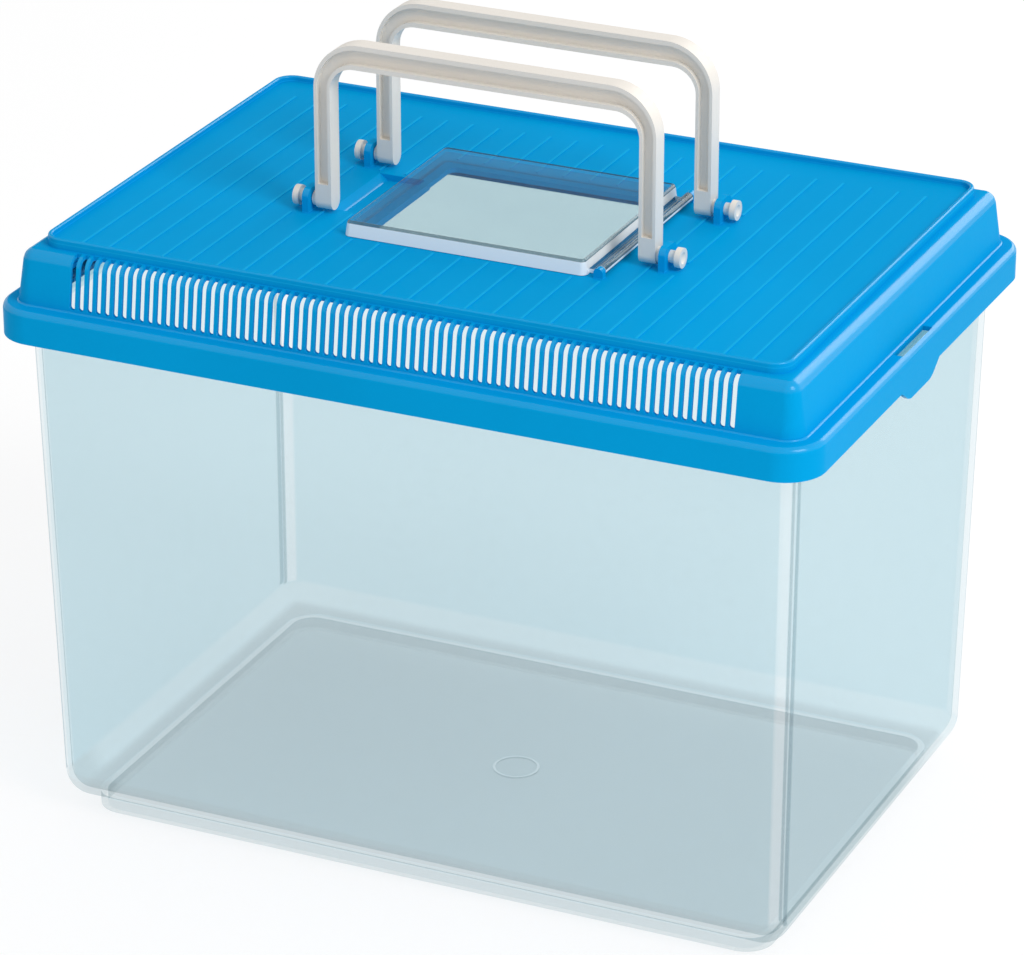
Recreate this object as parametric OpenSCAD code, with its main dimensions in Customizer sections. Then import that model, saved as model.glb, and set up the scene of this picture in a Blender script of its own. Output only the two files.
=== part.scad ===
// Plastic pet keeper: clear tank, blue vented lid, clear feeding hatch and two carry handles.
// Millimetres, +Z up, ground at z = 0, centred on the tank. The front faces -Y.

/* [Lid] */
// Length of the lid over its rim, left to right
lid_length = 300; // [240:1:360]
// Width of the lid over its rim, front to back
lid_width = 209; // [174:1:260]
// Plan corner radius of the rim
lid_corner_r = 14.5; // [13:0.5:24]
// Wall thickness of the lid
lid_wall = 1.6; // [1.2:0.1:2.2]
// Depth of the rim below the top of the ledge
rim_depth = 11.8; // [9:0.1:15]
// Rounding of the rim's upper outer edge
rim_round = 2.4; // [1.7:0.1:3]
// Width of the ledge, from the rim's face to the foot of the vented wall
ledge_width = 6.05; // [4.5:0.05:8]
// Height from the ledge to the top of the shoulder
wall_height = 19.2; // [15:0.1:24]
// Inward lean of the vented wall, in degrees
wall_lean = 8.25; // [2:0.25:12]
// Radius of the rounded shoulder
shoulder_r = 4.6; // [3:0.1:6]
// Flat step between the shoulder and the lip
lip_step = 1.1; // [0.6:0.1:2]
// Width of the raised lip round the panel
lip_width = 1.6; // [1.5:0.1:3]
// Height of the lip above the shoulder
lip_height = 3.7; // [2.8:0.1:5]
// Outer plan corner radius of the lip
lip_corner_r = 7; // [5:0.5:10]
// Depth of the panel floor below the top of the lip
panel_drop = 2; // [1.5:0.1:2.6]
// Thickness of the panel
panel_wall = 1.8; // [1.4:0.1:2.2]

/* [Vents] */
// Width of one vent slot
slot_width = 2.1; // [1.6:0.1:2.4]
// Distance from one slot to the next
slot_pitch = 3.3; // [3:0.1:4.5]
// Distance from the end of the lid to the middle of the last slot
slot_margin = 29.5; // [24:0.5:45]
// Height of the bottom of the slots above the ledge
slot_rise = 1.1; // [0.9:0.1:4]

/* [Panel ribs] */
// Distance from one rib to the next
rib_pitch = 10.2; // [7:0.1:16]
// Width of a rib
rib_width = 0.9; // [0.6:0.1:1.4]
// Height of a rib above the panel floor
rib_height = 0.3; // [0.2:0.1:0.5]
// Distance from the lip to the front ends of the ribs
rib_front = 2.5; // [2:0.5:10]
// Distance from the lip to the rear ends of the ribs
rib_rear = 15; // [2:0.5:20]

/* [Hatch] */
// Length of the hatch at its foot, left to right
hatch_length = 90; // [60:1:92]
// Width of the hatch at its foot, front to back
hatch_width = 80.8; // [60:0.2:96]
// Distance of the hatch in front of the middle of the lid
hatch_shift = 3; // [0:0.5:6]
// Height of the hatch above its foot
hatch_height = 5.4; // [4.4:0.1:6.5]
// Wall thickness of the hatch
hatch_wall = 1.6; // [1.4:0.1:1.8]
// Plan corner radius of the hatch
hatch_corner_r = 2.4; // [2.4:0.1:6]
// Rounding of the hatch's upper edge
hatch_round = 1.2; // [1:0.1:1.4]
// Ledge of panel that the hatch covers all round its opening
hatch_lap = 5.2; // [3.5:0.1:8]
// Radius of the hinge barrel
barrel_r = 1.7; // [1.6:0.1:2.2]
// Distance from the hatch's foot to the hinge line
hinge_reach = 4.6; // [3.6:0.1:6]
// Radius of the hinge pins
hinge_pin_r = 0.95; // [0.8:0.05:1.1]
// Thickness of the hinge knuckles, front to back
knuckle_width = 2.6; // [2.2:0.1:4]
// Length of the finger notch beyond the hatch
notch_reach = 15; // [11:0.5:16]
// Width of the finger notch, front to back
notch_width = 38; // [20:1:38]
// Depth of the finger notch
notch_depth = 2.2; // [1.2:0.1:2.6]

/* [Handles] */
// Width of a handle over its legs
handle_width = 126.8; // [118:0.2:156]
// Height of a handle above its pivot
handle_height = 58.5; // [44:0.5:60]
// Depth of a handle, front to back
handle_depth = 6.8; // [5.6:0.1:8.2]
// Width of a leg
leg_width = 6.1; // [5:0.1:7]
// Height of the top bar
bar_height = 8.8; // [7:0.1:11]
// Outer radius where the legs turn into the bar
handle_outer_r = 17.2; // [14:0.1:22]
// Inner radius where the legs turn into the bar
handle_inner_r = 9; // [6:0.1:12]
// Distance between the two pivot lines
handle_spacing = 48.4; // [40:0.2:62]
// Depth of the channels in the handle's faces
channel_depth = 2.4; // [1.6:0.1:2.5]
// Width of the rims beside the channels in the legs
leg_rim = 1.1; // [0.8:0.1:1.5]
// Width of the rims beside the channel in the bar
bar_rim = 1.7; // [1.2:0.1:2.2]
// Radius of the pivot pins
pivot_pin_r = 2.2; // [1.7:0.1:2.4]
// Radius of the pins' heads
pivot_head_r = 3.5; // [3.1:0.1:4.2]
// Thickness of the pins' heads
pivot_head = 2.1; // [1.6:0.1:3]
// Thickness of the lugs that carry the pins
lug_wall = 2.4; // [2.2:0.1:4]
// Length of pin left bare between a lug and the head
pin_bare = 2.5; // [0.4:0.1:3]
// Width of the lugs, front to back
lug_width = 10.4; // [9.6:0.1:12.6]

/* [Latches] */
// Half width of a latch tongue at the rim
tongue_top = 18; // [14:0.5:24]
// Half width of a latch tongue at its end
tongue_end = 9; // [6:0.5:12]
// Reach of a latch tongue below the rim
tongue_drop = 5; // [3.5:0.1:8]
// Half length of the slot in the ledge beside a tongue
latch_slot_half = 14; // [10:0.5:18]
// Width of the slot in the ledge
latch_slot_width = 3.3; // [2:0.1:3.4]
// Distance of the latches in front of the middle of the short sides
latch_shift = 2.5; // [0:0.5:10]

/* [Tank] */
// Height of the tank's upper edge above the ground
tank_height = 196.5; // [150:0.1:235]
// Wall thickness of the tank
tank_wall = 2.2; // [1.6:0.1:3]
// Width of the flange beyond the tank's wall
flange_width = 5.8; // [4.5:0.1:8]
// Thickness of the flange
flange_wall = 2; // [1.5:0.1:2.6]
// Depth of the flange's turned-down edge
flange_edge = 4; // [2:0.1:6]
// How much narrower each short side stands at the ground
taper_x = 3.1; // [1:0.1:6]
// How much narrower each long side stands at the ground
taper_y = 5.5; // [2:0.1:9]
// Plan corner radius of the tank
tank_corner_r = 10; // [7:0.5:12]
// Outer rounding under the floor's edge
base_round = 11; // [6:0.5:12]
// Inner rounding at the floor's edge
floor_round = 9.5; // [6:0.5:11]
// Height of the foot ring
foot_height = 5.2; // [4:0.1:8]
// Distance from the wall to the foot ring on the short sides
foot_inset_x = 9.1; // [8:0.1:16]
// Distance from the wall to the foot ring on the long sides
foot_inset_y = 7.6; // [7:0.1:14]
// Plan corner radius of the foot ring
foot_corner_r = 10.5; // [6:0.5:14]
// Width of the foot ring's wall
foot_wall = 2.5; // [2:0.1:4]
// Outer radius of the moulding gate ring under the floor
gate_r = 8.5; // [6:0.1:12]

/* [Fits] */
// Clearance between the lid's rim and the tank's flange
rim_gap = 1; // [0.5:0.1:1.5]
// Radial clearance of the pins in their bores
pin_gap = 0.08; // [0.03:0.01:0.1]
// Clearance under the hatch and beside moving faces
face_gap = 0.3; // [0.2:0.05:0.5]

/* [Hidden] */
$fn = 64;

// Small overlap that makes a cut run clear of a face
e = 0.5;

// Levels
ledge_z = tank_height + lid_wall;
rim_z = ledge_z - rim_depth;
shoulder_z = ledge_z + wall_height;
lip_z = shoulder_z + lip_height;
floor_z = lip_z - panel_drop;
pivot_z = floor_z + max(handle_depth / 2 + 0.9, pivot_head_r + 0.2);

// Profile of the vented wall, measured inward from the rim's face
arc_z = shoulder_z - shoulder_r;
tangent_z = arc_z + shoulder_r * sin(wall_lean);
tangent_in = ledge_width + (tangent_z - ledge_z) * tan(wall_lean);
arc_in = tangent_in + shoulder_r * cos(wall_lean);
lip_in = arc_in + lip_step;
wall_in = arc_in + 0.2;
rim_x = lid_length / 2 - lid_corner_r;
rim_y = lid_width / 2 - lid_corner_r;
wall_x = lid_length / 2 - wall_in;
wall_y = lid_width / 2 - wall_in;

// Raised lip and panel
lip_r = max(lip_corner_r, lip_width + 1);
lip_x = lid_length / 2 - lip_in;
lip_y = lid_width / 2 - lip_in;
panel_x = lip_x - lip_width;
panel_y = lip_y - lip_width;
panel_r = lip_r - lip_width;

// Hatch and its hinge
hatch_x = hatch_length / 2;
hatch_y = hatch_width / 2;
hatch_z = floor_z + 0.2;
hinge_x = hatch_x + hinge_reach;
hinge_z = floor_z + barrel_r + face_gap;
barrel_y = hatch_y - knuckle_width - face_gap;
knuckle_y = barrel_y + face_gap;
notch_x = hatch_x + notch_reach;
notch_slope = 3;

// Handle stations along X, from the middle outward
leg_x = handle_width / 2;
boss_end = leg_x + 1.6;
lug_in = boss_end + face_gap;
lug_out = lug_in + lug_wall;
head_in = lug_out + pin_bare;
lug_top = 4;
channel_end = 6.4;

// Tank
tank_x = lid_length / 2 - lid_wall - rim_gap - flange_width;
tank_y = lid_width / 2 - lid_wall - rim_gap - flange_width;
flange_x = tank_x + flange_width;
flange_y = tank_y + flange_width;
flange_r = lid_corner_r - lid_wall - rim_gap;
floor_top = foot_height + tank_wall;
corner_steps = 12;
fillet_steps = 9;

// Flat rectangle with rounded corners, given by its half sizes
module plate(hx, hy, r) {
    square([2 * hx, 2 * (hy - r)], center = true);
    square([2 * (hx - r), 2 * hy], center = true);
    for (sx = [-1, 1], sy = [-1, 1]) {
        translate([sx * (hx - r), sy * (hy - r)])
            circle(r);
    }
}

// Solid ring between two rounded rectangles
module ring(hx, hy, r, wall, height) {
    linear_extrude(height)
        difference() {
            plate(hx, hy, r);
            plate(hx - wall, hy - wall, max(r - wall, 0.5));
        }
}

// Long side of a swept profile, at the back, from the middle outward
module long_side(cx, cy) {
    translate([-cx, cy, 0])
        rotate([90, 0, 90])
            linear_extrude(2 * cx)
                children();
}

// Short side of a swept profile, on the right
module short_side(cx, cy) {
    translate([cx, cy, 0])
        rotate([90, 0, 0])
            linear_extrude(2 * cy)
                children();
}

// Corner of a swept profile, at the right of the back
module corner(cx, cy) {
    translate([cx, cy, 0])
        rotate_extrude(angle = 90)
            children();
}

// Short sides and corners of a swept profile
module ends(cx, cy) {
    for (mx = [0, 1]) {
        mirror([mx, 0, 0]) {
            short_side(cx, cy)
                children();
            for (my = [0, 1]) {
                mirror([0, my, 0])
                    corner(cx, cy)
                        children();
            }
        }
    }
}

// Whole swept profile
module swept(cx, cy) {
    ends(cx, cy)
        children();
    for (my = [0, 1]) {
        mirror([0, my, 0])
            long_side(cx, cy)
                children();
    }
}

// Filled outline of the rim and ledge, shrunk by t
module rim_fill(t) {
    x = lid_corner_r - t;
    z = ledge_z - t;
    r = rim_round - t;
    low = rim_z - (t > 0 ? e : 0);
    translate([0, low])
        square([x, z - r - low]);
    translate([0, low])
        square([x - r, z - low]);
    translate([x - r, z - r])
        circle(r);
}

// Section of the rim and of the ledge, which reaches just inside the wall
module rim_section() {
    difference() {
        rim_fill(0);
        rim_fill(lid_wall);
        translate([-e, rim_z - e])
            square([lid_corner_r - ledge_width - lid_wall - 0.3 + e, rim_depth + 2 * e]);
    }
}

// Filled outline of the vented wall and shoulder, shrunk by t
module wall_fill(t) {
    x_arc = wall_in - arc_in;
    r = shoulder_r - t;
    x_tan = x_arc + r * cos(wall_lean);
    z_tan = arc_z + r * sin(wall_lean);
    low = ledge_z - lid_wall + 0.3 - (t > 0 ? e : 0);
    polygon([
        [0, low],
        [x_tan + (z_tan - low) * tan(wall_lean), low],
        [x_tan, z_tan],
        [x_arc, arc_z],
        [0, arc_z]
    ]);
    intersection() {
        translate([x_arc, arc_z])
            circle(r);
        translate([0, low])
            square([wall_in, shoulder_z - low]);
    }
    translate([0, arc_z - e])
        square([x_arc, r + e]);
}

// Small concave fillet where the wall rises from the ledge
module foot_fillet() {
    r = 0.8;
    x = wall_in - ledge_width;
    difference() {
        translate([x - 0.3, ledge_z - e])
            square([r + 0.3, r + e]);
        translate([x + r, ledge_z + r])
            circle(r);
    }
}

// Section of the vented wall up to the step beside the lip
module wall_section() {
    difference() {
        union() {
            wall_fill(0);
            foot_fillet();
        }
        wall_fill(lid_wall);
    }
}

// Section of the raised lip
module lip_section() {
    r = 0.7;
    low = shoulder_z - lid_wall;
    x = lip_r - lip_width;
    translate([x, low])
        square([lip_width, lip_z - r - low]);
    translate([x + r, low])
        square([lip_width - 2 * r, lip_z - low]);
    translate([x + r, lip_z - r])
        circle(r);
    translate([lip_r - r, lip_z - r])
        circle(r);
}

// Outlines of the vent slots of one long side, seen from the front
module slot_outlines() {
    steps = floor((lid_length - 2 * slot_margin) / slot_pitch);
    r = slot_width / 2;
    low = ledge_z + slot_rise + r;
    for (i = [0 : steps]) {
        translate([(i - steps / 2) * slot_pitch, low]) {
            circle(r);
            translate([-r, 0])
                square([slot_width, shoulder_z + e - low]);
        }
    }
}

// Long side of the lid with its vent slots
module vented_side() {
    difference() {
        long_side(wall_x, wall_y)
            wall_section();
        translate([0, lid_width / 2 - ledge_width + 1.5, 0])
            rotate([90, 0, 0])
                linear_extrude(wall_in - ledge_width + 2)
                    slot_outlines();
    }
}

// Rim, ledge, vented walls, shoulder and lip
module lid_shell() {
    swept(rim_x, rim_y)
        rim_section();
    ends(wall_x, wall_y)
        wall_section();
    vented_side();
    mirror([0, 1, 0])
        vented_side();
    swept(lip_x - lip_r, lip_y - lip_r)
        lip_section();
    translate([0, 0, shoulder_z - lid_wall])
        linear_extrude(lid_wall)
            difference() {
                square([2 * wall_x, 2 * wall_y], center = true);
                plate(panel_x, panel_y, panel_r);
            }
}

// Recessed top panel with the opening under the hatch
module panel() {
    translate([0, 0, floor_z - panel_wall])
        linear_extrude(panel_wall)
            difference() {
                plate(panel_x + e, panel_y + e, panel_r);
                translate([0, -hatch_shift])
                    plate(hatch_x - hatch_lap, hatch_y - hatch_lap, 3);
            }
}

// Shallow ribs across the panel, clear of everything that stands on it
module panel_ribs() {
    steps = floor((panel_x - 8) / rib_pitch);
    clear = 2;
    translate([0, 0, floor_z - 0.2])
        linear_extrude(rib_height + 0.2)
            difference() {
                for (i = [-steps : steps]) {
                    translate([i * rib_pitch - rib_width / 2, rib_front - panel_y])
                        square([rib_width, 2 * panel_y - rib_front - rib_rear]);
                }
                translate([-hatch_x - clear, -hatch_y - hatch_shift - clear])
                    square([hatch_x + hinge_x + barrel_r + 2 * clear, 2 * hatch_y + 2 * clear]);
                translate([-notch_x - clear, -notch_width / 2 - hatch_shift - clear])
                    square([notch_reach + 2 * clear, notch_width + 2 * clear]);
                translate([hinge_x - barrel_r - 1, -knuckle_y - knuckle_width - hatch_shift - 1])
                    square([2 * barrel_r + 2, 2 * (knuckle_y + knuckle_width + 1)]);
                for (sx = [-1, 1], sy = [-1, 1]) {
                    translate([sx * (lug_in + head_in + pivot_head) / 2, sy * handle_spacing / 2])
                        square([head_in + pivot_head - lug_in + clear, lug_width + clear], center = true);
                }
            }
}

// Lug for one handle pin, on the right at the back
module lug() {
    r = 3;
    top = pivot_z + lug_top;
    translate([lug_in, handle_spacing / 2, 0])
        rotate([90, 0, 90])
            linear_extrude(lug_wall) {
                translate([-lug_width / 2, floor_z - 1])
                    square([lug_width, top - r - floor_z + 1]);
                translate([-lug_width / 2 + r, floor_z - 1])
                    square([lug_width - 2 * r, top - floor_z + 1]);
                for (s = [-1, 1]) {
                    translate([s * (lug_width / 2 - r), top - r])
                        circle(r);
                }
            }
}

// Bore through the two lugs of one handle
module lug_bores() {
    translate([-lug_out - e, handle_spacing / 2, pivot_z])
        rotate([0, 90, 0])
            cylinder(h = 2 * (lug_out + e), r = pivot_pin_r + pin_gap);
}

// Knuckle of the hatch hinge with its blind bore, behind the barrel
module knuckle() {
    difference() {
        translate([hinge_x, knuckle_y + knuckle_width, 0])
            rotate([90, 0, 0])
                linear_extrude(knuckle_width) {
                    translate([0, hinge_z])
                        circle(barrel_r);
                    translate([-barrel_r, floor_z - 1])
                        square([2 * barrel_r, hinge_z - floor_z + 1]);
                }
        translate([hinge_x, knuckle_y + knuckle_width - 0.8, hinge_z])
            rotate([90, 0, 0])
                cylinder(h = knuckle_width, r = hinge_pin_r + pin_gap);
    }
}

// Thick floor under the finger notch
module notch_block() {
    wall = 1.6;
    translate([-notch_x - wall, -notch_width / 2 - wall - hatch_shift, floor_z - notch_depth - wall])
        cube([notch_reach + hatch_lap, notch_width + 2 * wall, notch_depth + wall - e]);
}

// Hollow of the finger notch, with a sloped outer edge
module notch_cut() {
    inner = -hatch_x + 2.4;
    translate([0, notch_width / 2 - hatch_shift, 0])
        rotate([90, 0, 0])
            linear_extrude(notch_width)
                polygon([
                    [-notch_x - notch_slope * e / notch_depth, floor_z + e],
                    [-notch_x + notch_slope, floor_z - notch_depth],
                    [inner, floor_z - notch_depth],
                    [inner, floor_z + e]
                ]);
}

// Latch tongue that hangs below the rim on the right
module tongue() {
    barb = 0.6;
    r = 3;
    low = rim_z - tongue_drop;
    translate([lid_length / 2 - lid_wall, -latch_shift, 0])
        rotate([90, 0, 90])
            linear_extrude(lid_wall)
                polygon([
                    [-tongue_top, rim_z + e],
                    [-tongue_top, rim_z],
                    [-tongue_end - r, low + 1],
                    [-tongue_end, low],
                    [tongue_end, low],
                    [tongue_end + r, low + 1],
                    [tongue_top, rim_z],
                    [tongue_top, rim_z + e]
                ]);
    translate([lid_length / 2 - lid_wall, -latch_shift + tongue_end, 0])
        rotate([90, 0, 0])
            linear_extrude(2 * tongue_end)
                polygon([[e, low + 0.6], [0, low + 0.6], [-barb, low + 2.4], [0, low + 3], [e, low + 3]]);
}

// Slot through the ledge that lets the tongue flex
module latch_slot() {
    x = lid_length / 2 - lid_wall - latch_slot_width;
    translate([x, -latch_shift - latch_slot_half, ledge_z - lid_wall - e])
        cube([latch_slot_width, 2 * latch_slot_half, lid_wall + 2 * e]);
}

module lid() {
    color("deepskyblue")
        difference() {
            union() {
                lid_shell();
                panel();
                panel_ribs();
                notch_block();
                for (mx = [0, 1]) {
                    mirror([mx, 0, 0]) {
                        tongue();
                        for (my = [0, 1]) {
                            mirror([0, my, 0])
                                lug();
                        }
                    }
                }
                translate([0, -hatch_shift, 0]) {
                    for (my = [0, 1]) {
                        mirror([0, my, 0])
                            knuckle();
                    }
                }
            }
            for (mx = [0, 1]) {
                mirror([mx, 0, 0])
                    latch_slot();
            }
            for (my = [0, 1]) {
                mirror([0, my, 0])
                    lug_bores();
            }
            notch_cut();
        }
}

// Section of the hatch's rounded edge, from its foot to the top
module hatch_section() {
    lean = 0.6;
    top = hatch_z + hatch_height;
    x_top = hatch_corner_r - lean;
    difference() {
        union() {
            polygon([
                [0, hatch_z],
                [hatch_corner_r, hatch_z],
                [x_top, top - hatch_round],
                [0, top - hatch_round]
            ]);
            translate([0, top - hatch_round - e])
                square([x_top - hatch_round, hatch_round + e]);
            intersection() {
                translate([x_top - hatch_round, top - hatch_round])
                    circle(hatch_round);
                translate([0, hatch_z])
                    square([hatch_corner_r, hatch_height]);
            }
        }
        translate([-1, hatch_z - e])
            square([1 + hatch_corner_r - hatch_wall, hatch_height - hatch_wall + e]);
    }
}

// Hinge barrel with its pins and the web to the hatch
module hatch_hinge() {
    pin_y = knuckle_y + knuckle_width - 1.1;
    web = 1.4;
    translate([hinge_x, barrel_y, hinge_z])
        rotate([90, 0, 0])
            cylinder(h = 2 * barrel_y, r = barrel_r);
    translate([hinge_x, pin_y, hinge_z])
        rotate([90, 0, 0])
            cylinder(h = 2 * pin_y, r = hinge_pin_r);
    translate([hatch_x - 1, -barrel_y + 0.5, floor_z + face_gap + 0.1])
        cube([hinge_x - hatch_x + 1, 2 * barrel_y - 1, web]);
}

module hatch() {
    cx = hatch_x - hatch_corner_r;
    cy = hatch_y - hatch_corner_r;
    color("white", 0.4)
        translate([0, -hatch_shift, 0]) {
            swept(cx, cy)
                hatch_section();
            translate([0, 0, hatch_z + hatch_height - hatch_wall])
                linear_extrude(hatch_wall)
                    square([2 * cx, 2 * cy], center = true);
            hatch_hinge();
        }
}

// Arch outline that stands on the pivot line
module arch(half, top, r) {
    translate([-half, 0])
        square([2 * half, top - r]);
    translate([-half + r, 0])
        square([2 * (half - r), top]);
    for (s = [-1, 1]) {
        translate([s * (half - r), top - r])
            circle(r);
    }
}

// Outline of the handle seen from the front
module handle_outline() {
    difference() {
        arch(leg_x, handle_height, handle_outer_r);
        translate([0, -e])
            arch(leg_x - leg_width, handle_height - bar_height + e, handle_inner_r);
    }
}

// Outline of the channel in one face of the handle
module channel_outline() {
    inner_x = leg_x - leg_width + leg_rim;
    inner_top = handle_height - bar_height + bar_rim;
    difference() {
        arch(leg_x - leg_rim, handle_height - bar_rim, handle_outer_r - 1.4);
        translate([0, -e])
            arch(inner_x, inner_top + e, handle_inner_r + 1.4);
        translate([-leg_x, -e])
            square([2 * leg_x, channel_end + e]);
    }
}

// Channel of the back face
module face_cut() {
    translate([0, handle_depth / 2 + e, 0])
        rotate([90, 0, 0])
            linear_extrude(channel_depth + e)
                channel_outline();
}

// Boss, pivot pin and dished head on the right leg
module pivot() {
    head_out = head_in + pivot_head;
    dish = 2.6;
    rotate([0, 90, 0]) {
        translate([0, 0, leg_x - 1])
            cylinder(h = boss_end - leg_x + 1, r = pivot_pin_r + 0.55);
        translate([0, 0, leg_x])
            cylinder(h = head_in - leg_x + 1, r = pivot_pin_r);
        difference() {
            translate([0, 0, head_in])
                cylinder(h = pivot_head, r = pivot_head_r);
            translate([0, 0, head_out + dish - 1])
                sphere(r = dish);
        }
    }
}

// One handle standing upright with its pivot line on the X axis
module handle() {
    difference() {
        union() {
            translate([0, handle_depth / 2, 0])
                rotate([90, 0, 0])
                    linear_extrude(handle_depth)
                        handle_outline();
            for (s = [-1, 1]) {
                translate([s * (leg_x - leg_width / 2) - leg_width / 2, 0, 0])
                    rotate([0, 90, 0])
                        cylinder(h = leg_width, r = handle_depth / 2);
            }
        }
        face_cut();
        mirror([0, 1, 0])
            face_cut();
    }
    pivot();
    mirror([1, 0, 0])
        pivot();
}

module front_handle() {
    color("gainsboro")
        translate([0, -handle_spacing / 2, pivot_z])
            handle();
}

module rear_handle() {
    color("gainsboro")
        translate([0, handle_spacing / 2, pivot_z])
            rotate([0, 0, 180])
                handle();
}

// Points of one rounded rectangle at height z, anticlockwise
function ring_points(z, hx, hy, r) = [
    for (q = [0 : 3], i = [0 : corner_steps])
        let (a = 90 * q + 90 * i / corner_steps)
        let (sx = (q == 0 || q == 3) ? 1 : -1)
        let (sy = (q < 2) ? 1 : -1)
        [sx * (hx - r) + r * cos(a), sy * (hy - r) + r * sin(a), z]
];

// Closed solid through a list of rings [z, hx, hy, r], with flat ends
module loft(rings) {
    n = 4 * (corner_steps + 1);
    count = len(rings);
    points = [for (k = rings) each ring_points(k[0], k[1], k[2], k[3])];
    sides = [
        for (k = [0 : count - 2], i = [0 : n - 1])
            let (j = (i + 1) % n)
            each [
                [k * n + i, (k + 1) * n + i, (k + 1) * n + j],
                [k * n + i, (k + 1) * n + j, k * n + j]
            ]
    ];
    first = [for (i = [0 : n - 1]) i];
    last = [for (i = [0 : n - 1]) count * n - 1 - i];
    polyhedron(points, concat([first], sides, [last]));
}

// How far the wall stands in at height z, as a share of the taper
function taper(z) = (tank_height - z) / (tank_height - foot_height);

// Ring of the tank's surface at height z, set in by d
function tank_ring(z, d, r) = [z, tank_x - taper_x * taper(z) - d, tank_y - taper_y * taper(z) - d, r];

// Rings of the outside, from under the floor to the upper edge
function outer_rings() = concat(
    [
        for (i = [0 : fillet_steps])
            let (a = 90 * i / fillet_steps)
            let (d = base_round * (1 - sin(a)))
            tank_ring(foot_height + base_round * (1 - cos(a)), d, max(tank_corner_r - d, 1.5))
    ],
    [tank_ring(tank_height, 0, tank_corner_r)]
);

// Rings of the inside, from the upper edge down to the floor
function inner_rings() = concat(
    [tank_ring(tank_height, tank_wall, tank_corner_r - tank_wall)],
    [
        for (i = [0 : fillet_steps])
            let (a = 90 - 90 * i / fillet_steps)
            let (d = floor_round * (1 - sin(a)))
            let (z = floor_top + floor_round * (1 - cos(a)))
            tank_ring(z, tank_wall + d, max(tank_corner_r - tank_wall - d, 2))
    ]
);

// Flange that the lid rests on, with its turned-down edge
module flange() {
    low = tank_height - flange_wall;
    translate([0, 0, low])
        linear_extrude(flange_wall)
            difference() {
                plate(flange_x, flange_y, flange_r);
                plate(tank_x - tank_wall / 2, tank_y - tank_wall / 2, tank_corner_r - tank_wall / 2);
            }
    translate([0, 0, low - flange_edge])
        ring(flange_x, flange_y, flange_r, 2, flange_edge + flange_wall);
}

// Foot ring under the floor
module foot() {
    fx = tank_x - taper_x - foot_inset_x;
    fy = tank_y - taper_y - foot_inset_y;
    ring(fx, fy, foot_corner_r, foot_wall, foot_height + tank_wall / 2);
}

// Ring left by the moulding gate under the floor
module gate_ring() {
    translate([0, 0, foot_height - 0.6])
        difference() {
            cylinder(h = 1.2, r = gate_r);
            translate([0, 0, -e])
                cylinder(h = 1.2 + 2 * e, r = gate_r - 1);
        }
}

module tank() {
    color("lightcyan", 0.3) {
        loft(concat(outer_rings(), inner_rings()));
        flange();
        foot();
        gate_ring();
    }
}

tank();
lid();
hatch();
front_handle();
rear_handle();
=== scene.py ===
"""Looks of the plastic pet keeper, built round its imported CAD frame."""

import math

import bpy
import numpy as np
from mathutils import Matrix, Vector


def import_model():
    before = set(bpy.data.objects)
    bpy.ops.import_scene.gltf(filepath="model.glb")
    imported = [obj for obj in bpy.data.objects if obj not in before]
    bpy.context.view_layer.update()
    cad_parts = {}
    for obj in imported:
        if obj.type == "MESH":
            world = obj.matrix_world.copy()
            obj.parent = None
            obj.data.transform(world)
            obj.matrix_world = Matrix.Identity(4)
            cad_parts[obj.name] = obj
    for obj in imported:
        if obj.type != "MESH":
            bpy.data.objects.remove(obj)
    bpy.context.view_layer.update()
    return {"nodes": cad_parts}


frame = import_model()
NODES = frame["nodes"]


# ---------------------------------------------------------------- shader helpers

def srgb(r, g, b):
    """Linear colour of an 8-bit sRGB one."""
    out = []
    for v in (r, g, b):
        v /= 255
        out.append(v / 12.92 if v <= 0.04045 else ((v + 0.055) / 1.055) ** 2.4)
    return (*out, 1)


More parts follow.
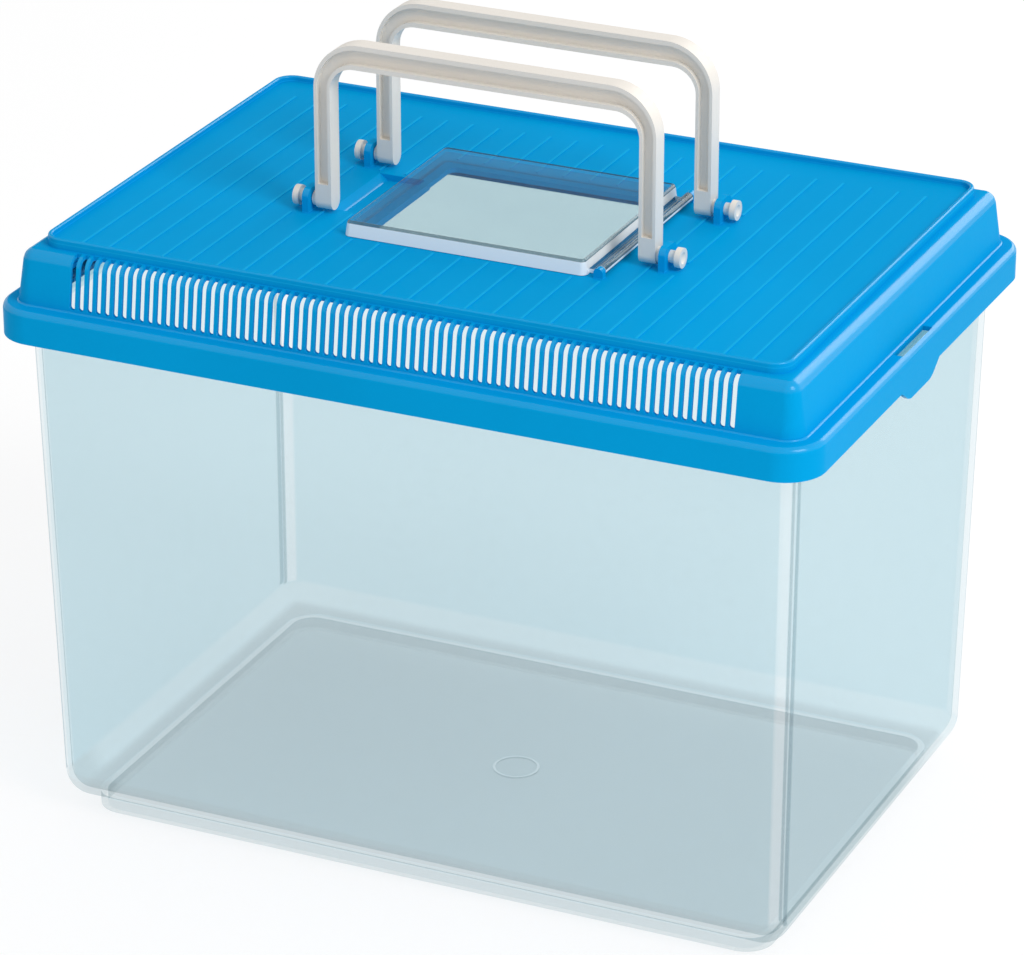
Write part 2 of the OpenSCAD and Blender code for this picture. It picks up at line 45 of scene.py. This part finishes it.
class Shader:
    """A principled plastic and the few node patterns used on it."""

    def __init__(self, name, specular):
        self.mat = bpy.data.materials.new(name)
        self.mat.use_nodes = True
        self.tree = self.mat.node_tree
        self.bsdf = self.tree.nodes["Principled BSDF"]
        self.bsdf.inputs["IOR"].default_value = 1.5
        self.bsdf.inputs["Specular IOR Level"].default_value = specular
        self.coord = self.tree.nodes.new("ShaderNodeTexCoord")

    def link(self, source, target):
        self.tree.links.new(source, target)

    def noise(self, scale, detail=2.0, stretch=(1, 1, 1)):
        """Noise in object space, from 0 to 1, longer along an axis with a small stretch."""
        mapping = self.tree.nodes.new("ShaderNodeMapping")
        mapping.inputs["Scale"].default_value = stretch
        self.link(self.coord.outputs["Object"], mapping.inputs["Vector"])
        tex = self.tree.nodes.new("ShaderNodeTexNoise")
        tex.inputs["Scale"].default_value = scale
        tex.inputs["Detail"].default_value = detail
        self.link(mapping.outputs["Vector"], tex.inputs["Vector"])
        return tex.outputs["Fac"]

    def axis(self, output, name):
        """One component of a texture coordinate."""
        split = self.tree.nodes.new("ShaderNodeSeparateXYZ")
        self.link(self.coord.outputs[output], split.inputs["Vector"])
        return split.outputs[name]

    def facing(self, name):
        """How far the surface faces along an axis either way, from 0 to 1."""
        return self.math("ABSOLUTE", self.axis("Normal", name))

    def math(self, operation, *values):
        """Result of a maths operation on other results."""
        node = self.tree.nodes.new("ShaderNodeMath")
        node.operation = operation
        for socket, value in zip(node.inputs, values):
            self.link(value, socket)
        return node.outputs["Value"]

    def ramp(self, value, start, end, low=0.0, high=1.0):
        """Smooth step from low at start to high at end."""
        node = self.tree.nodes.new("ShaderNodeMapRange")
        node.interpolation_type = "SMOOTHSTEP"
        node.inputs["From Min"].default_value = start
        node.inputs["From Max"].default_value = end
        node.inputs["To Min"].default_value = low
        node.inputs["To Max"].default_value = high
        self.link(value, node.inputs["Value"])
        return node.outputs["Result"]

    def both(self, a, b):
        """1 where a and b are both 1."""
        return self.math("MULTIPLY", a, b)

    def band(self, value, rise, fall):
        """1 between a pair of limits where it rises and a pair where it falls again."""
        return self.both(self.ramp(value, *rise), self.ramp(value, *fall))

    def mix(self, factor, a, b):
        """Colour between a and b."""
        node = self.tree.nodes.new("ShaderNodeMix")
        node.data_type = "RGBA"
        colour_a, colour_b = (s for s in node.inputs if s.type == "RGBA")
        factor_in = next(s for s in node.inputs if s.type == "VALUE")
        self.link(factor, factor_in)
        for socket, value in ((colour_a, a), (colour_b, b)):
            if isinstance(value, tuple):
                socket.default_value = value
            else:
                self.link(value, socket)
        return next(s for s in node.outputs if s.type == "RGBA")

    def flow_marks(self, colour, share):
        """Colour with the broad marks that the melt leaves, as dark as a share of it."""
        marks = self.noise(9, 5, (1, 1, 0.4))
        return self.mix(self.ramp(marks, 0.35, 0.65), darker(colour, share), colour)

    def bump(self, height, strength):
        """Fine bumps in the surface, as high as the grain's depth times strength."""
        node = self.tree.nodes.new("ShaderNodeBump")
        node.inputs["Strength"].default_value = strength
        node.inputs["Distance"].default_value = GRAIN_DEPTH
        self.link(height, node.inputs["Height"])
        self.link(node.outputs["Normal"], self.bsdf.inputs["Normal"])

    def set(self, name, value):
        """Drive a socket of the principled shader."""
        self.link(value, self.bsdf.inputs[name])

    def see_through(self, tint, haze):
        """Let light through in a tint, but for the share that haze keeps for the surface."""
        clear = self.tree.nodes.new("ShaderNodeBsdfTransparent")
        self.link(tint, clear.inputs["Color"])
        mix = self.tree.nodes.new("ShaderNodeMixShader")
        self.link(haze, mix.inputs["Fac"])
        self.link(clear.outputs["BSDF"], mix.inputs[1])
        self.link(self.bsdf.outputs["BSDF"], mix.inputs[2])
        self.link(mix.outputs["Shader"], self.tree.nodes["Material Output"].inputs["Surface"])


def darker(colour, share):
    """Colour with that share of its light."""
    return (*[c * share for c in colour[:3]], 1)


# ---------------------------------------------------------------- materials

# Heights in metres on the tank: the bottom bend, the floor, the foot ring and the flange
BEND_TOP, FLOOR_HIGH, FLOOR_LOW, FOOT_TOP = 0.022, 0.012, 0.009, 0.0051
FLANGE_LOW = 0.1905

# Heights on the lid: its shoulder, the foot of its lip, and the ribs on its panel
SHOULDER_TOP, LIP_FOOT = 0.2168, 0.2174
RIB_FOOT, RIB_TOP = 0.21905, 0.2192

# Where the front and right walls of the tank's foot and of the hatch stand
TANK_FRONT, TANK_RIGHT = -0.075, 0.12
HATCH_FRONT, HATCH_RIGHT = -0.040, 0.0425

# Widths in metres over which one zone of the clear plastics passes into the next
SOFT, SHARP = 0.015, 0.001

# Noise scale of the moulded grain, and its depth in metres
GRAIN, GRAIN_DEPTH = 700, 0.0002

# Micrometres in a metre, and a length that keeps a division off zero
MICRONS, TINY = 1e6, 1e-12


def moulded(name, colour, rough, specular, flow, grain):
    """Opaque moulded plastic: flow marks in the colour, a fine grain in gloss and bump."""
    s = Shader(name, specular=specular)
    s.set("Base Color", s.flow_marks(colour, flow))
    fine = s.noise(GRAIN)
    s.set("Roughness", s.ramp(fine, 0.3, 0.7, rough * 0.8, rough * 1.2))
    s.bump(fine, grain)
    return s.mat


def lid_blue():
    """Blue moulding: satin flats, glossier rounded edges, and a painted highlight on the tops of
    the panel's fine ribs.
    """
    blue = (0.001, 0.362, 0.755, 1)
    # Paler blue for the rib tops: a painted highlight
    rib_highlight = (0.008, 0.43, 0.80, 1)
    s = Shader("lid_blue", specular=0.06)
    tone = s.flow_marks(blue, 0.94)
    height = s.axis("Object", "Z")
    on_rib = s.band(height, (RIB_FOOT, RIB_TOP), (RIB_TOP + 0.0003, RIB_TOP + 0.0001))
    up = s.facing("Z")
    below_lip = s.ramp(height, LIP_FOOT, SHOULDER_TOP)
    off_panel = s.math("MAXIMUM", below_lip, s.ramp(height, RIB_TOP, RIB_TOP + 0.0003))
    rounded = s.both(s.band(up, (0.18, 0.4), (0.985, 0.9)), off_panel)
    s.set("Base Color", s.mix(on_rib, tone, rib_highlight))
    gloss = s.math("ADD", s.ramp(up, 0.97, 0.8, 0.003, 0.01), s.ramp(rounded, 0, 1, 0, 0.24))
    s.set("Specular IOR Level", gloss)
    fine = s.noise(GRAIN)
    satin = s.ramp(fine, 0.3, 0.7, 0.30, 0.38)
    s.set("Roughness", s.math("SUBTRACT", satin, s.ramp(rounded, 0, 1, 0, 0.16)))
    s.bump(fine, 0.015)
    return s.mat


def tank_clear():
    """Clear plastic with a faint cyan tint: painted highlights on the rounded corners and a floor
    greyed with painted shade.

    The bend and the foot ring under the walls carry a deeper tint of painted shade at the front
    and the right.
    """
    wall_tints = (0.878, 0.935, 0.952, 1), (0.888, 0.942, 0.959, 1)
    bend_tint, foot_tint = (0.92, 0.955, 0.965, 1), (0.985, 0.99, 0.995, 1)
    # Tint of painted shade for the bend and foot at the front and right
    near_shade_tint = (0.86, 0.895, 0.905, 1)
    # Floor and flange tints, both darkened with painted shade
    floor_shade_tint, flange_shade_tint = (0.834, 0.862, 0.872, 1), (0.60, 0.78, 0.84, 1)
    # Tints for the corners' painted shade line and painted highlight band
    shade_tint, highlight_tint = (0.62, 0.70, 0.73, 1), (0.98, 0.99, 0.995, 1)
    s = Shader("tank_clear", specular=0.5)
    height = s.axis("Object", "Z")
    depth = s.axis("Object", "Y")
    side = s.facing("X")
    up = s.facing("Z")

    # Each corner has a painted highlight band, and a painted shade line beside it on the end wall
    wall = s.both(s.ramp(up, 0.22, 0.12), s.ramp(height, FOOT_TOP, FOOT_TOP + 0.002))
    bright = s.both(s.band(side, (0.47, 0.6), (0.90, 0.86)), wall)
    dark = s.both(s.band(side, (0.88, 0.91), (0.975, 0.95)), wall)

    # Floor: greyed with painted shade
    on_floor = s.both(s.ramp(height, FLOOR_HIGH, FLOOR_LOW), s.ramp(up, 0.75, 0.97))
    on_foot = s.ramp(height, FOOT_TOP, FOOT_TOP - 0.0003)
    on_bend = s.both(s.ramp(height, BEND_TOP, BEND_TOP - 0.004), s.ramp(up, 0.12, 0.3))
    # Flange under the lid's rim: darker, a painted shade
    on_flange = s.ramp(height, FLANGE_LOW - SHARP, FLANGE_LOW)
    # Front and right sides, where the bend and foot ring take painted shade
    right = s.ramp(s.axis("Object", "X"), TANK_RIGHT - SOFT, TANK_RIGHT)
    right = s.both(right, s.ramp(depth, -TANK_FRONT, -TANK_FRONT - 2 * SOFT))
    near_shade = s.math("MAXIMUM", s.ramp(depth, TANK_FRONT + SOFT, TANK_FRONT), right)

    cloud = s.noise(24, 3)
    tint = s.mix(cloud, *wall_tints)
    tint = s.mix(on_bend, tint, s.mix(near_shade, bend_tint, near_shade_tint))
    tint = s.mix(on_floor, tint, floor_shade_tint)
    tint = s.mix(dark, tint, shade_tint)
    tint = s.mix(bright, tint, highlight_tint)
    tint = s.mix(on_foot, tint, s.mix(near_shade, foot_tint, near_shade_tint))
    tint = s.mix(on_flange, tint, flange_shade_tint)
    # Haze colour: darker along the corners' painted shade line
    s.set("Base Color", s.mix(dark, (0.82, 0.94, 0.96, 1), (0.45, 0.55, 0.6, 1)))
    s.set("Roughness", s.ramp(cloud, 0.3, 0.7, 0.06, 0.14))
    scuffs = s.ramp(s.noise(260, 4), 0.5, 0.8, 0.0, 0.015)
    # More haze in the corners' painted highlight band
    s.see_through(tint, s.math("ADD", s.ramp(bright, 0, 1, 0.03, 0.05), scuffs))
    return s.mat


def hatch_clear():
    """Clear plastic: a grey-green plate, painted shade on the bent edges, and a painted whitish
    reflection on the front and hinge walls.
    """
    plate_tints = (0.74, 0.82, 0.84, 1), (0.77, 0.85, 0.865, 1)
    wall_tint = (0.95, 0.98, 0.985, 1)
    s = Shader("hatch_clear", specular=0.5)
    up = s.facing("Z")
    wall = s.ramp(up, 0.3, 0.15)
    edge_shade = s.band(up, (0.15, 0.3), (0.99, 0.95))
    # Front and hinge walls: a whitish painted reflection, as near-opaque haze
    front = s.ramp(s.axis("Object", "Y"), HATCH_FRONT + SHARP, HATCH_FRONT)
    right = s.ramp(s.axis("Object", "X"), HATCH_RIGHT - SHARP, HATCH_RIGHT)
    near_wall_reflection = s.both(wall, s.math("MAXIMUM", front, right))
    cloud = s.noise(60, 3)
    tint = s.mix(wall, s.mix(cloud, *plate_tints), wall_tint)
    # Dark haze colour on the bent edges: painted shade
    s.set("Base Color", s.mix(edge_shade, (0.97, 1.0, 1.0, 1), (0.06, 0.14, 0.18, 1)))
    s.set("Roughness", s.ramp(cloud, 0.3, 0.7, 0.05, 0.12))
    haze = s.math("ADD", s.ramp(near_wall_reflection, 0, 1, 0.03, 0.97), s.ramp(edge_shade, 0, 1, 0, 0.7))
    s.see_through(tint, haze)
    return s.mat


MATERIALS = {
    "lid": lid_blue(),
    "tank": tank_clear(),
    "hatch": hatch_clear(),
}
GREY = moulded("handle_grey", srgb(238, 232, 223), rough=0.4, specular=0.3, flow=0.96, grain=0.03)
MATERIALS["front_handle"] = MATERIALS["rear_handle"] = GREY


def smooth(obj, degrees=35):
    """Smooth normals across faces that meet at less than an angle. The points stay in place."""
    mesh = obj.data
    count = len(mesh.polygons)
    normals = np.empty(count * 3)
    mesh.polygons.foreach_get("normal", normals)
    normals = normals.reshape(-1, 3)
    areas = np.empty(count)
    mesh.polygons.foreach_get("area", areas)
    coords = np.empty(len(mesh.vertices) * 3)
    mesh.vertices.foreach_get("co", coords)
    corners = np.empty(len(mesh.loops), dtype=int)
    mesh.loops.foreach_get("vertex_index", corners)
    totals = np.empty(count, dtype=int)
    mesh.polygons.foreach_get("loop_total", totals)
    face_of = np.repeat(np.arange(count), totals)
    spots = np.round(coords.reshape(-1, 3)[corners] * MICRONS).astype(np.int64)
    _, spot_of = np.unique(spots, axis=0, return_inverse=True)
    spot_of = spot_of.ravel()

    # Face corners at one spot, a group for each
    order = np.argsort(spot_of, kind="stable")
    edges = np.flatnonzero(np.diff(spot_of[order])) + 1
    limit = math.cos(math.radians(degrees))
    out = np.empty((len(face_of), 3))
    for group in np.split(order, edges):
        faces = face_of[group]
        n = normals[faces]
        near = (n @ n.T > limit) * areas[faces][None, :]
        out[group] = near @ n
    out /= np.maximum(np.linalg.norm(out, axis=1, keepdims=True), TINY)
    mesh.polygons.foreach_set("use_smooth", np.ones(count, dtype=bool))
    mesh.normals_split_custom_set([tuple(v) for v in out])


for node, mat in MATERIALS.items():
    NODES[node].data.materials.clear()
    NODES[node].data.materials.append(mat)
    smooth(NODES[node])


# ---------------------------------------------------------------- stage

def backdrop_shader(tree, colour, shown, out):
    """Light the scene with colour, but look like shown to the camera, in gloss and in glass."""
    path = tree.nodes.new("ShaderNodeLightPath")
    seen = path.outputs["Is Camera Ray"]
    for ray in ("Is Glossy Ray", "Is Transmission Ray"):
        either = tree.nodes.new("ShaderNodeMath")
        either.operation = "MAXIMUM"
        tree.links.new(seen, either.inputs[0])
        tree.links.new(path.outputs[ray], either.inputs[1])
        seen = either.outputs["Value"]
    mix = tree.nodes.new("ShaderNodeMixShader")
    tree.links.new(seen, mix.inputs["Fac"])
    tree.links.new(colour, mix.inputs[1])
    tree.links.new(shown, mix.inputs[2])
    tree.links.new(mix.outputs["Shader"], out)


def world(strength):
    """White world: lights at a strength, and looks plain white."""
    white = (1, 1, 1, 1)
    studio = bpy.data.worlds.new("studio")
    bpy.context.scene.world = studio
    studio.use_nodes = True
    tree = studio.node_tree
    lit = tree.nodes["Background"]
    lit.inputs["Color"].default_value = white
    lit.inputs["Strength"].default_value = strength
    shown = tree.nodes.new("ShaderNodeBackground")
    shown.inputs["Color"].default_value = white
    shown.inputs["Strength"].default_value = 1
    out = tree.nodes["World Output"].inputs["Surface"]
    backdrop_shader(tree, lit.outputs["Background"], shown.outputs["Background"], out)


def floor(half, glow):
    """White floor: mostly plain white to the camera, with a faint part that takes the shadow."""
    mesh = bpy.data.meshes.new("floor")
    corners = [(-half, -half, 0), (half, -half, 0), (half, half, 0), (-half, half, 0)]
    mesh.from_pydata(corners, [], [(0, 1, 2, 3)])
    obj = bpy.data.objects.new("floor", mesh)
    bpy.context.scene.collection.objects.link(obj)
    mat = bpy.data.materials.new("floor")
    mat.use_nodes = True
    tree = mat.node_tree
    bsdf = tree.nodes["Principled BSDF"]
    bsdf.inputs["Base Color"].default_value = (0.9, 0.9, 0.9, 1)
    bsdf.inputs["Roughness"].default_value = 0.9
    plain = tree.nodes.new("ShaderNodeEmission")
    plain.inputs["Strength"].default_value = glow
    matte = tree.nodes.new("ShaderNodeBsdfDiffuse")
    matte.inputs["Color"].default_value = (0.3, 0.3, 0.3, 1)
    shown = tree.nodes.new("ShaderNodeAddShader")
    tree.links.new(plain.outputs["Emission"], shown.inputs[0])
    tree.links.new(matte.outputs["BSDF"], shown.inputs[1])
    out = tree.nodes["Material Output"].inputs["Surface"]
    backdrop_shader(tree, bsdf.outputs["BSDF"], shown.outputs["Shader"], out)
    mesh.materials.append(mat)


def lamp(name, direction, distance, size, power):
    """Square area lamp that shines on the keeper from a direction, in metres and watts."""
    aim = Vector((0, 0, 0.15))
    data = bpy.data.lights.new(name, "AREA")
    data.shape = "SQUARE"
    data.size = size
    data.energy = power
    obj = bpy.data.objects.new(name, data)
    away = Vector(direction).normalized()
    obj.location = aim + away * distance
    obj.rotation_euler = away.to_track_quat("Z", "Y").to_euler()
    bpy.context.scene.collection.objects.link(obj)


def camera():
    """Camera at the photograph's viewing angle, found from the lid's parallel edges."""
    azimuth, elevation, distance = math.radians(24.6), math.radians(24.2), 1.7559
    aim = Vector((-0.0017, 0, 0.1193))
    away = Vector((
        math.sin(azimuth) * math.cos(elevation),
        -math.cos(azimuth) * math.cos(elevation),
        math.sin(elevation),
    ))
    data = bpy.data.cameras.new("camera")
    data.lens = 175.3
    data.sensor_width = 36
    data.clip_start = 0.05
    obj = bpy.data.objects.new("camera", data)
    obj.location = aim + away * distance
    obj.rotation_euler = away.to_track_quat("Z", "Y").to_euler()
    bpy.context.scene.collection.objects.link(obj)
    bpy.context.scene.camera = obj


world(strength=0.6)
floor(half=12.0, glow=0.74)
lamp("key", (0.70, -0.28, 0.64), distance=2.2, size=0.9, power=22)
lamp("rim", (0.25, 0.88, 0.38), distance=2.0, size=1.0, power=9)
camera()
bpy.context.scene.view_settings.view_transform = "Standard"
